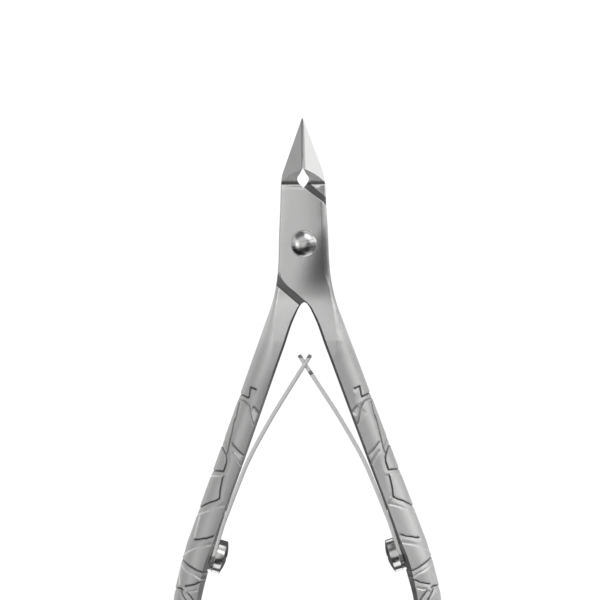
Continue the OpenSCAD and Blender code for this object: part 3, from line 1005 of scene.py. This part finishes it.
LEVER = steel("lever_satin_steel", base=0.66, rough=0.23, grain=0.8, streak=0.5, wear_and_shade=1.0,
              seed=3.1, part="lever")
SPRING = steel("spring_satin_steel", base=0.83, rough=0.34, grain=0.3, streak=0.3, wear_and_shade=0.3,
               seed=11.7, stretch=(0.6, 0.6, 3.0), part="leaf")
SCREW = steel("screw_polished_steel", base=0.66, rough=0.165, grain=0.15, streak=0.35, wear_and_shade=0.5,
              seed=7.3, stretch=(5.0, 5.0, 0.6))

front_lever = finish_piece(make_lever(front=True), "front_lever_visual")
back_lever = finish_piece(make_lever(front=False), "back_lever_visual", mirror=True)
right_leaf = finish_piece(make_leaf(tongue=True), "right_spring_visual", 35)
left_leaf = finish_piece(make_leaf(tongue=False), "left_spring_visual", 35, mirror=True)
pivot = finish_piece(make_pivot(), "pivot_screw_visual")
right_screw = finish_piece(make_spring_screw(), "right_spring_screw_visual")
left_screw = finish_piece(make_spring_screw(), "left_spring_screw_visual", mirror=True)


def wear_finish(piece, mat):
    piece.data.materials.clear()
    piece.data.materials.append(mat)


for piece, body, node, slot, mat in (
        (front_lever, "front", "front_lever", "lever_steel", LEVER),
        (back_lever, "back", "back_lever", "lever_steel", LEVER),
        (pivot, "back", "pivot_screw", "screw_steel", SCREW),
        (right_screw, "front", "right_spring_screw", "screw_steel", SCREW),
        (left_screw, "back", "left_spring_screw", "screw_steel", SCREW)):
    wear_finish(piece, mat)
    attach(piece, body)
    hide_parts(node)

# Each leaf gets the spring finish, its place baked into its mesh, and its CAD part hidden
for piece, own, other, node, sign in (
        (right_leaf, "front", "right_leaf", "right_spring", 1),
        (left_leaf, "back", "left_leaf", "left_spring", -1)):
    wear_finish(piece, SPRING)
    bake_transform(piece)
    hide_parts(node)

# ---------------------------------------------------------------- sky

# Soft rectangles in the sky, in degrees: angle from straight up, bearing, half width, half
# height and softness, then the share of light kept (dark) or the light added (bright)
DARK_PATCHES = [
    (48, -125, 32, 15, 6, 0.03), (27, -85, 22, 12, 5, 0.10), (46, 113, 20, 13, 6, 0.24),
    (25, -46, 20, 14, 7, 0.44), (37, -22, 20, 26, 8, 0.34), (40, 202, 17, 24, 8, 0.66),
    (66, 162, 12, 10, 5, 0.78), (72, 108, 8, 14, 5, 0.30), (60, -10, 10, 26, 6, 0.78)]
BRIGHT_PATCHES = [
    (38, 62, 12, 7, 5, 1.8), (30, 180, 11, 7, 5, 1.3), (70, -78, 28, 16, 5, 1.0),
    (67, 20, 10, 9, 4, 0.82), (45, 25, 10, 15, 6, 0.62), (80, 76, 15, 12, 5, 0.8)]
BACKDROP = 0.95                # sky brightness seen by the camera
OVERHEAD = 0.74                # sky brightness straight up


def patch(net, direction, tilt, bearing, half_width, half_height, soft):
    """Mask of one soft rectangle."""
    tilt, turn = math.radians(tilt), math.radians(bearing)
    centre = (math.sin(tilt) * math.cos(turn), math.sin(tilt) * math.sin(turn), math.cos(tilt))
    across = (-math.sin(turn), math.cos(turn), 0.0)
    down = (math.cos(tilt) * math.cos(turn), math.cos(tilt) * math.sin(turn), -math.sin(tilt))

    def dot(vector):
        return net.node("ShaderNodeVectorMath", {0: direction, 1: vector},
                        operation="DOT_PRODUCT").outputs["Value"]

    def band(vector, half):
        near = math.sin(math.radians(max(0.2, half - soft)))
        far = math.sin(math.radians(half + soft))
        return net.ramp(net.absolute(dot(vector)), near, far, low=1.0, high=0.0)
    mask = net.mul(band(across, half_width), band(down, half_height))
    return net.mul(mask, net.math("GREATER_THAN", dot(centre), 0.0))


def make_sky():
    world = bpy.data.worlds.new("studio")
    bpy.context.scene.world = world
    world.use_nodes = True
    net = Net(world.node_tree)
    direction = net.node("ShaderNodeTexCoord").outputs["Generated"]
    up = net.split(direction)[2]
    # The horizon is light past the jaws and dark past the handles, so outer edges shine
    # and inner ones don't
    horizon = net.ramp(net.split(direction)[1], -0.22, -0.06, low=0.12, high=0.55)
    sky = net.add(horizon, net.mul(net.ramp(up, 0.05, 0.97), net.sub(OVERHEAD, horizon)))
    for *shape, keep in DARK_PATCHES:
        sky = net.dim(sky, patch(net, direction, *shape), 1 - keep)
    for *shape, power in BRIGHT_PATCHES:
        sky = net.add(sky, net.mul(patch(net, direction, *shape), power))
    seen = net.node("ShaderNodeLightPath").outputs["Is Camera Ray"]
    sky = net.add(net.mul(sky, net.sub(1.0, seen)), net.mul(seen, BACKDROP))
    light = net.node("ShaderNodeBackground", {"Color": (1, 1, 1, 1), "Strength": sky}).outputs[0]
    net.node("ShaderNodeOutputWorld", {"Surface": light})


make_sky()

# ---------------------------------------------------------------- floor

FLOOR_Z = -0.0002


def floor_white():
    """Near-white to the camera. To reflections, dim between the handles with bright spots."""
    mat = bpy.data.materials.new("floor_white")
    mat.use_nodes = True
    net = Net(mat.node_tree)
    spot = net.node("ShaderNodeTexNoise", {"Vector": net.objects(), "Scale": 40.0,
                                           "Detail": 2.0}).outputs[0]
    eyes = net.node("ShaderNodeLightPath").outputs["Is Camera Ray"]
    x, y, z = net.split(net.to_mm(net.objects()))
    # The dim wedge widens down the handles, and the floor brightens over 4 mm beyond it
    reach = net.add(net.mul(y, -0.34), -2.0)
    outside = net.ramp(net.sub(net.absolute(x), reach), 0.0, 4.0)
    bounce = net.add(net.mul(outside, 0.55), 0.06)

    def glow_spot(vector, centre, core, edge, power):
        distance = net.node("ShaderNodeVectorMath", {0: vector, 1: centre},
                            operation="DISTANCE").outputs["Value"]
        return net.add(bounce, net.ramp(distance, core, edge, low=power, high=0.0))
    # One spot by the right handle, then a pair, one on each side
    bounce = glow_spot(net.to_mm(net.objects()), centre=(12.6, -49.5, -0.2), core=2.0, edge=4.5,
                       power=1.1)
    mirrored = net.node("ShaderNodeCombineXYZ", {0: net.absolute(x), 1: y, 2: z}).outputs[0]
    bounce = glow_spot(mirrored, centre=(18.8, -66.3, -0.2), core=2.2, edge=4.5, power=1.2)

    shine = net.add(net.mul(eyes, net.ramp(spot, 0.0, 1.0, low=0.99)),
                    net.mul(net.sub(1.0, eyes), bounce))
    glow = net.node("ShaderNodeEmission", {"Color": (1, 1, 1, 1), "Strength": shine}).outputs[0]
    matt = net.node("ShaderNodeBsdfDiffuse", {"Color": (0.12, 0.12, 0.12, 1)}).outputs[0]
    both = net.node("ShaderNodeAddShader", {0: glow, 1: matt}).outputs[0]
    # Seen through from below, to show the tool's back
    under = net.node("ShaderNodeNewGeometry").outputs["Backfacing"]
    clear = net.node("ShaderNodeBsdfTransparent").outputs[0]
    surface = net.node("ShaderNodeMixShader", {0: under, 1: both, 2: clear}).outputs[0]
    net.node("ShaderNodeOutputMaterial", {"Surface": surface})
    return mat


floor = new_mesh([(-0.3, -0.34, FLOOR_Z), (0.3, -0.34, FLOOR_Z), (0.3, 0.26, FLOOR_Z),
                  (-0.3, 0.26, FLOOR_Z)], [(0, 1, 2, 3)], "floor")
floor.data.materials.append(floor_white())
floor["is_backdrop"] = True

# ---------------------------------------------------------------- camera

LOOK = Vector((-0.80 * MM, -10.5 * MM, 5.0 * MM))
FAR = 0.9
VIEW_WIDTH = 112.5 * MM        # width in view at the height of LOOK
cam = bpy.data.cameras.new("camera")
cam.type = "PERSP"
cam.sensor_fit = "HORIZONTAL"
cam.sensor_width = 36
cam.lens = 36 * FAR / VIEW_WIDTH
cam.clip_start = 0.05
cam.clip_end = 20
eye = bpy.data.objects.new("camera", cam)
bpy.context.scene.collection.objects.link(eye)
eye.location = LOOK + Vector((0, 0, FAR))
eye.rotation_euler = (0, 0, math.radians(-0.586))
bpy.context.scene.camera = eye

view = bpy.context.scene.view_settings
view.view_transform = "Standard"
view.look = "None"
view.exposure = 0
view.gamma = 1

SIZE_AT_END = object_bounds()


def plain(value):
    """Bounds as plain lists and dicts, for JSON."""
    if isinstance(value, dict):
        return {k: plain(v) for k, v in value.items()}
    if hasattr(value, "__len__") and not isinstance(value, str):
        return [plain(v) for v in value]
    return value


{"at_load": plain(SIZE_AT_LOAD), "at_end": plain(SIZE_AT_END)}
